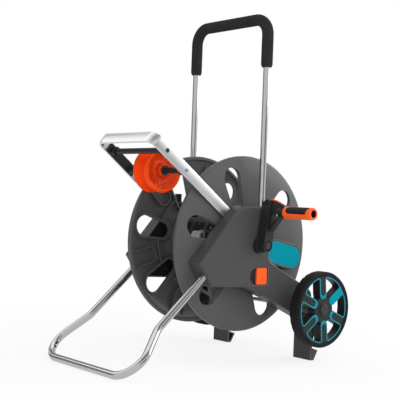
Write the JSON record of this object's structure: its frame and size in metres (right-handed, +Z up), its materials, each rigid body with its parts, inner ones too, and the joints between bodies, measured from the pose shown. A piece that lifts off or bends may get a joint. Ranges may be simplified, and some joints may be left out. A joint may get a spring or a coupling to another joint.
{
  "type": "garden hose reel cart",
  "caption": "Wheeled garden hose reel with a windowed drum, fold-out crank, telescoping push handle, wire front stand and a strap guide with a sliding spool roller.",
  "frame": {"origin": "on the ground, in the middle of the box round the whole cart", "axes": "+X along the reel axis towards the crank, +Y to the wheels at the rear, +Z up"},
  "size_m": [0.5, 0.6092, 0.7948],
  "materials": {
    "cover_plastic": "dark grey matte moulding",
    "flange_plastic": "dark grey satin moulding",
    "black_plastic": "near-black matte moulding",
    "grey_plastic": "mid-grey fitting",
    "orange_plastic": "orange moulding, satin",
    "teal_plastic": "teal moulding",
    "chrome_tube": "bright plated tube",
    "guide_aluminium": "brushed strap",
    "steel": "plain steel",
    "foam": "ribbed black foam",
    "grip_rubber": "soft black pad",
    "tyre_rubber": "matte black"
  },
  "bodies": {
    "chassis": {"right_side_cover": "cover_plastic", "left_side_cover": "cover_plastic", "right_side_frame": "black_plastic", "left_side_frame": "black_plastic", "right_bearing_bush": "grey_plastic", "left_bearing_bush": "grey_plastic", "cover_screws": "steel", "badge_plates": "teal_plastic", "latch_trays": "black_plastic", "stand_tube": "chrome_tube", "guide_arm": "guide_aluminium", "right_guide_liner": "black_plastic", "left_guide_liner": "black_plastic", "guide_top_rod": "black_plastic", "roller_rod": "black_plastic", "guide_plugs": "black_plastic", "guide_rivets": "steel", "wheel_axle": "steel", "axle_hardware": "steel", "right_foot": "black_plastic", "left_foot": "black_plastic"},
    "reel": {"right_flange": "flange_plastic", "left_flange": "flange_plastic", "drum_core": "black_plastic", "reel_screws": "steel", "drive_shaft": "steel", "water_shaft": "grey_plastic", "outlet_nipple": "grey_plastic", "feed_pipe": "grey_plastic", "crank_arm": "black_plastic", "crank_screw": "steel", "crank_hub_cap": "grey_plastic", "knee_pin": "steel"},
    "crank_handle": {"knee_bracket": "black_plastic", "grip_spindle": "steel", "grip_retainer": "steel"},
    "fold_button": {"fold_button": "orange_plastic"},
    "crank_grip": {"grip_core": "orange_plastic", "grip_pads": "grip_rubber"},
    "push_handle": {"handle_tube": "chrome_tube", "foam_sleeve": "foam", "handle_plugs": "black_plastic"},
    "right_latch": {"right_latch": "orange_plastic", "right_latch_spring": "steel"},
    "left_latch": {"left_latch": "orange_plastic", "left_latch_spring": "steel"},
    "right_wheel": {"right_wheel_disc": "black_plastic", "right_wheel_trim": "teal_plastic", "right_tyre": "tyre_rubber", "right_hub_cap": "black_plastic"},
    "left_wheel": {"left_wheel_disc": "black_plastic", "left_wheel_trim": "teal_plastic", "left_tyre": "tyre_rubber", "left_hub_cap": "black_plastic"},
    "roller_carrier": {"roller_bush": "grey_plastic"},
    "roller": {"right_roller_half": "orange_plastic", "left_roller_half": "orange_plastic"},
    "inlet": {"inlet_elbow": "grey_plastic", "inlet_seal": "grip_rubber"}
  },
  "joints": [
    {"name": "reel_spin", "type": "hinge", "parent": "chassis", "child": "reel", "pos_m": [-0.038, 0.0709, 0.268], "axis": [1, 0, 0], "continuous": true},
    {"name": "crank_fold", "type": "hinge", "parent": "reel", "child": "crank_handle", "pos_m": [0.117, 0.08514, 0.35788], "axis": [0, -0.9877, 0.1564], "range_deg": [0, 90]},
    {"name": "fold_button_press", "type": "slide", "parent": "crank_handle", "child": "fold_button", "axis": [0, -0.1564, -0.9877], "range_m": [0, 0.002], "stiffness_N_per_m": 400, "springref_m": -0.003},
    {"name": "grip_spin", "type": "hinge", "parent": "crank_handle", "child": "crank_grip", "pos_m": [0.182, 0.08295, 0.34405], "axis": [1, 0, 0], "continuous": true},
    {"name": "handle_slide", "type": "slide", "parent": "chassis", "child": "push_handle", "axis": [0, 0, -1], "range_m": [0, 0.15]},
    {"name": "right_wheel_spin", "type": "hinge", "parent": "chassis", "child": "right_wheel", "pos_m": [0.157, 0.2174, 0.123], "axis": [1, 0, 0], "continuous": true},
    {"name": "left_wheel_spin", "type": "hinge", "parent": "chassis", "child": "left_wheel", "pos_m": [-0.233, 0.2174, 0.123], "axis": [1, 0, 0], "continuous": true},
    {"name": "roller_slide", "type": "slide", "parent": "chassis", "child": "roller_carrier", "axis": [1, 0, 0], "range_m": [-0.05, 0.05]},
    {"name": "roller_spin", "type": "hinge", "parent": "roller_carrier", "child": "roller", "pos_m": [-0.038, -0.11842, 0.42719], "axis": [1, 0, 0], "continuous": true},
    {"name": "inlet_turn", "type": "hinge", "parent": "chassis", "child": "inlet", "pos_m": [-0.188, 0.0709, 0.268], "axis": [1, 0, 0], "range_deg": [-90, 90]},
    {"name": "right_latch_slide", "type": "slide", "parent": "chassis", "child": "right_latch", "axis": [0, 1, 0], "range_m": [0, 0.0035], "stiffness_N_per_m": 600, "springref_m": -0.003, "deforming": ["right_latch_spring"]},
    {"name": "left_latch_slide", "type": "slide", "parent": "chassis", "child": "left_latch", "axis": [0, 1, 0], "range_m": [0, 0.0035], "stiffness_N_per_m": 600, "springref_m": -0.003, "deforming": ["left_latch_spring"]}
  ]
}
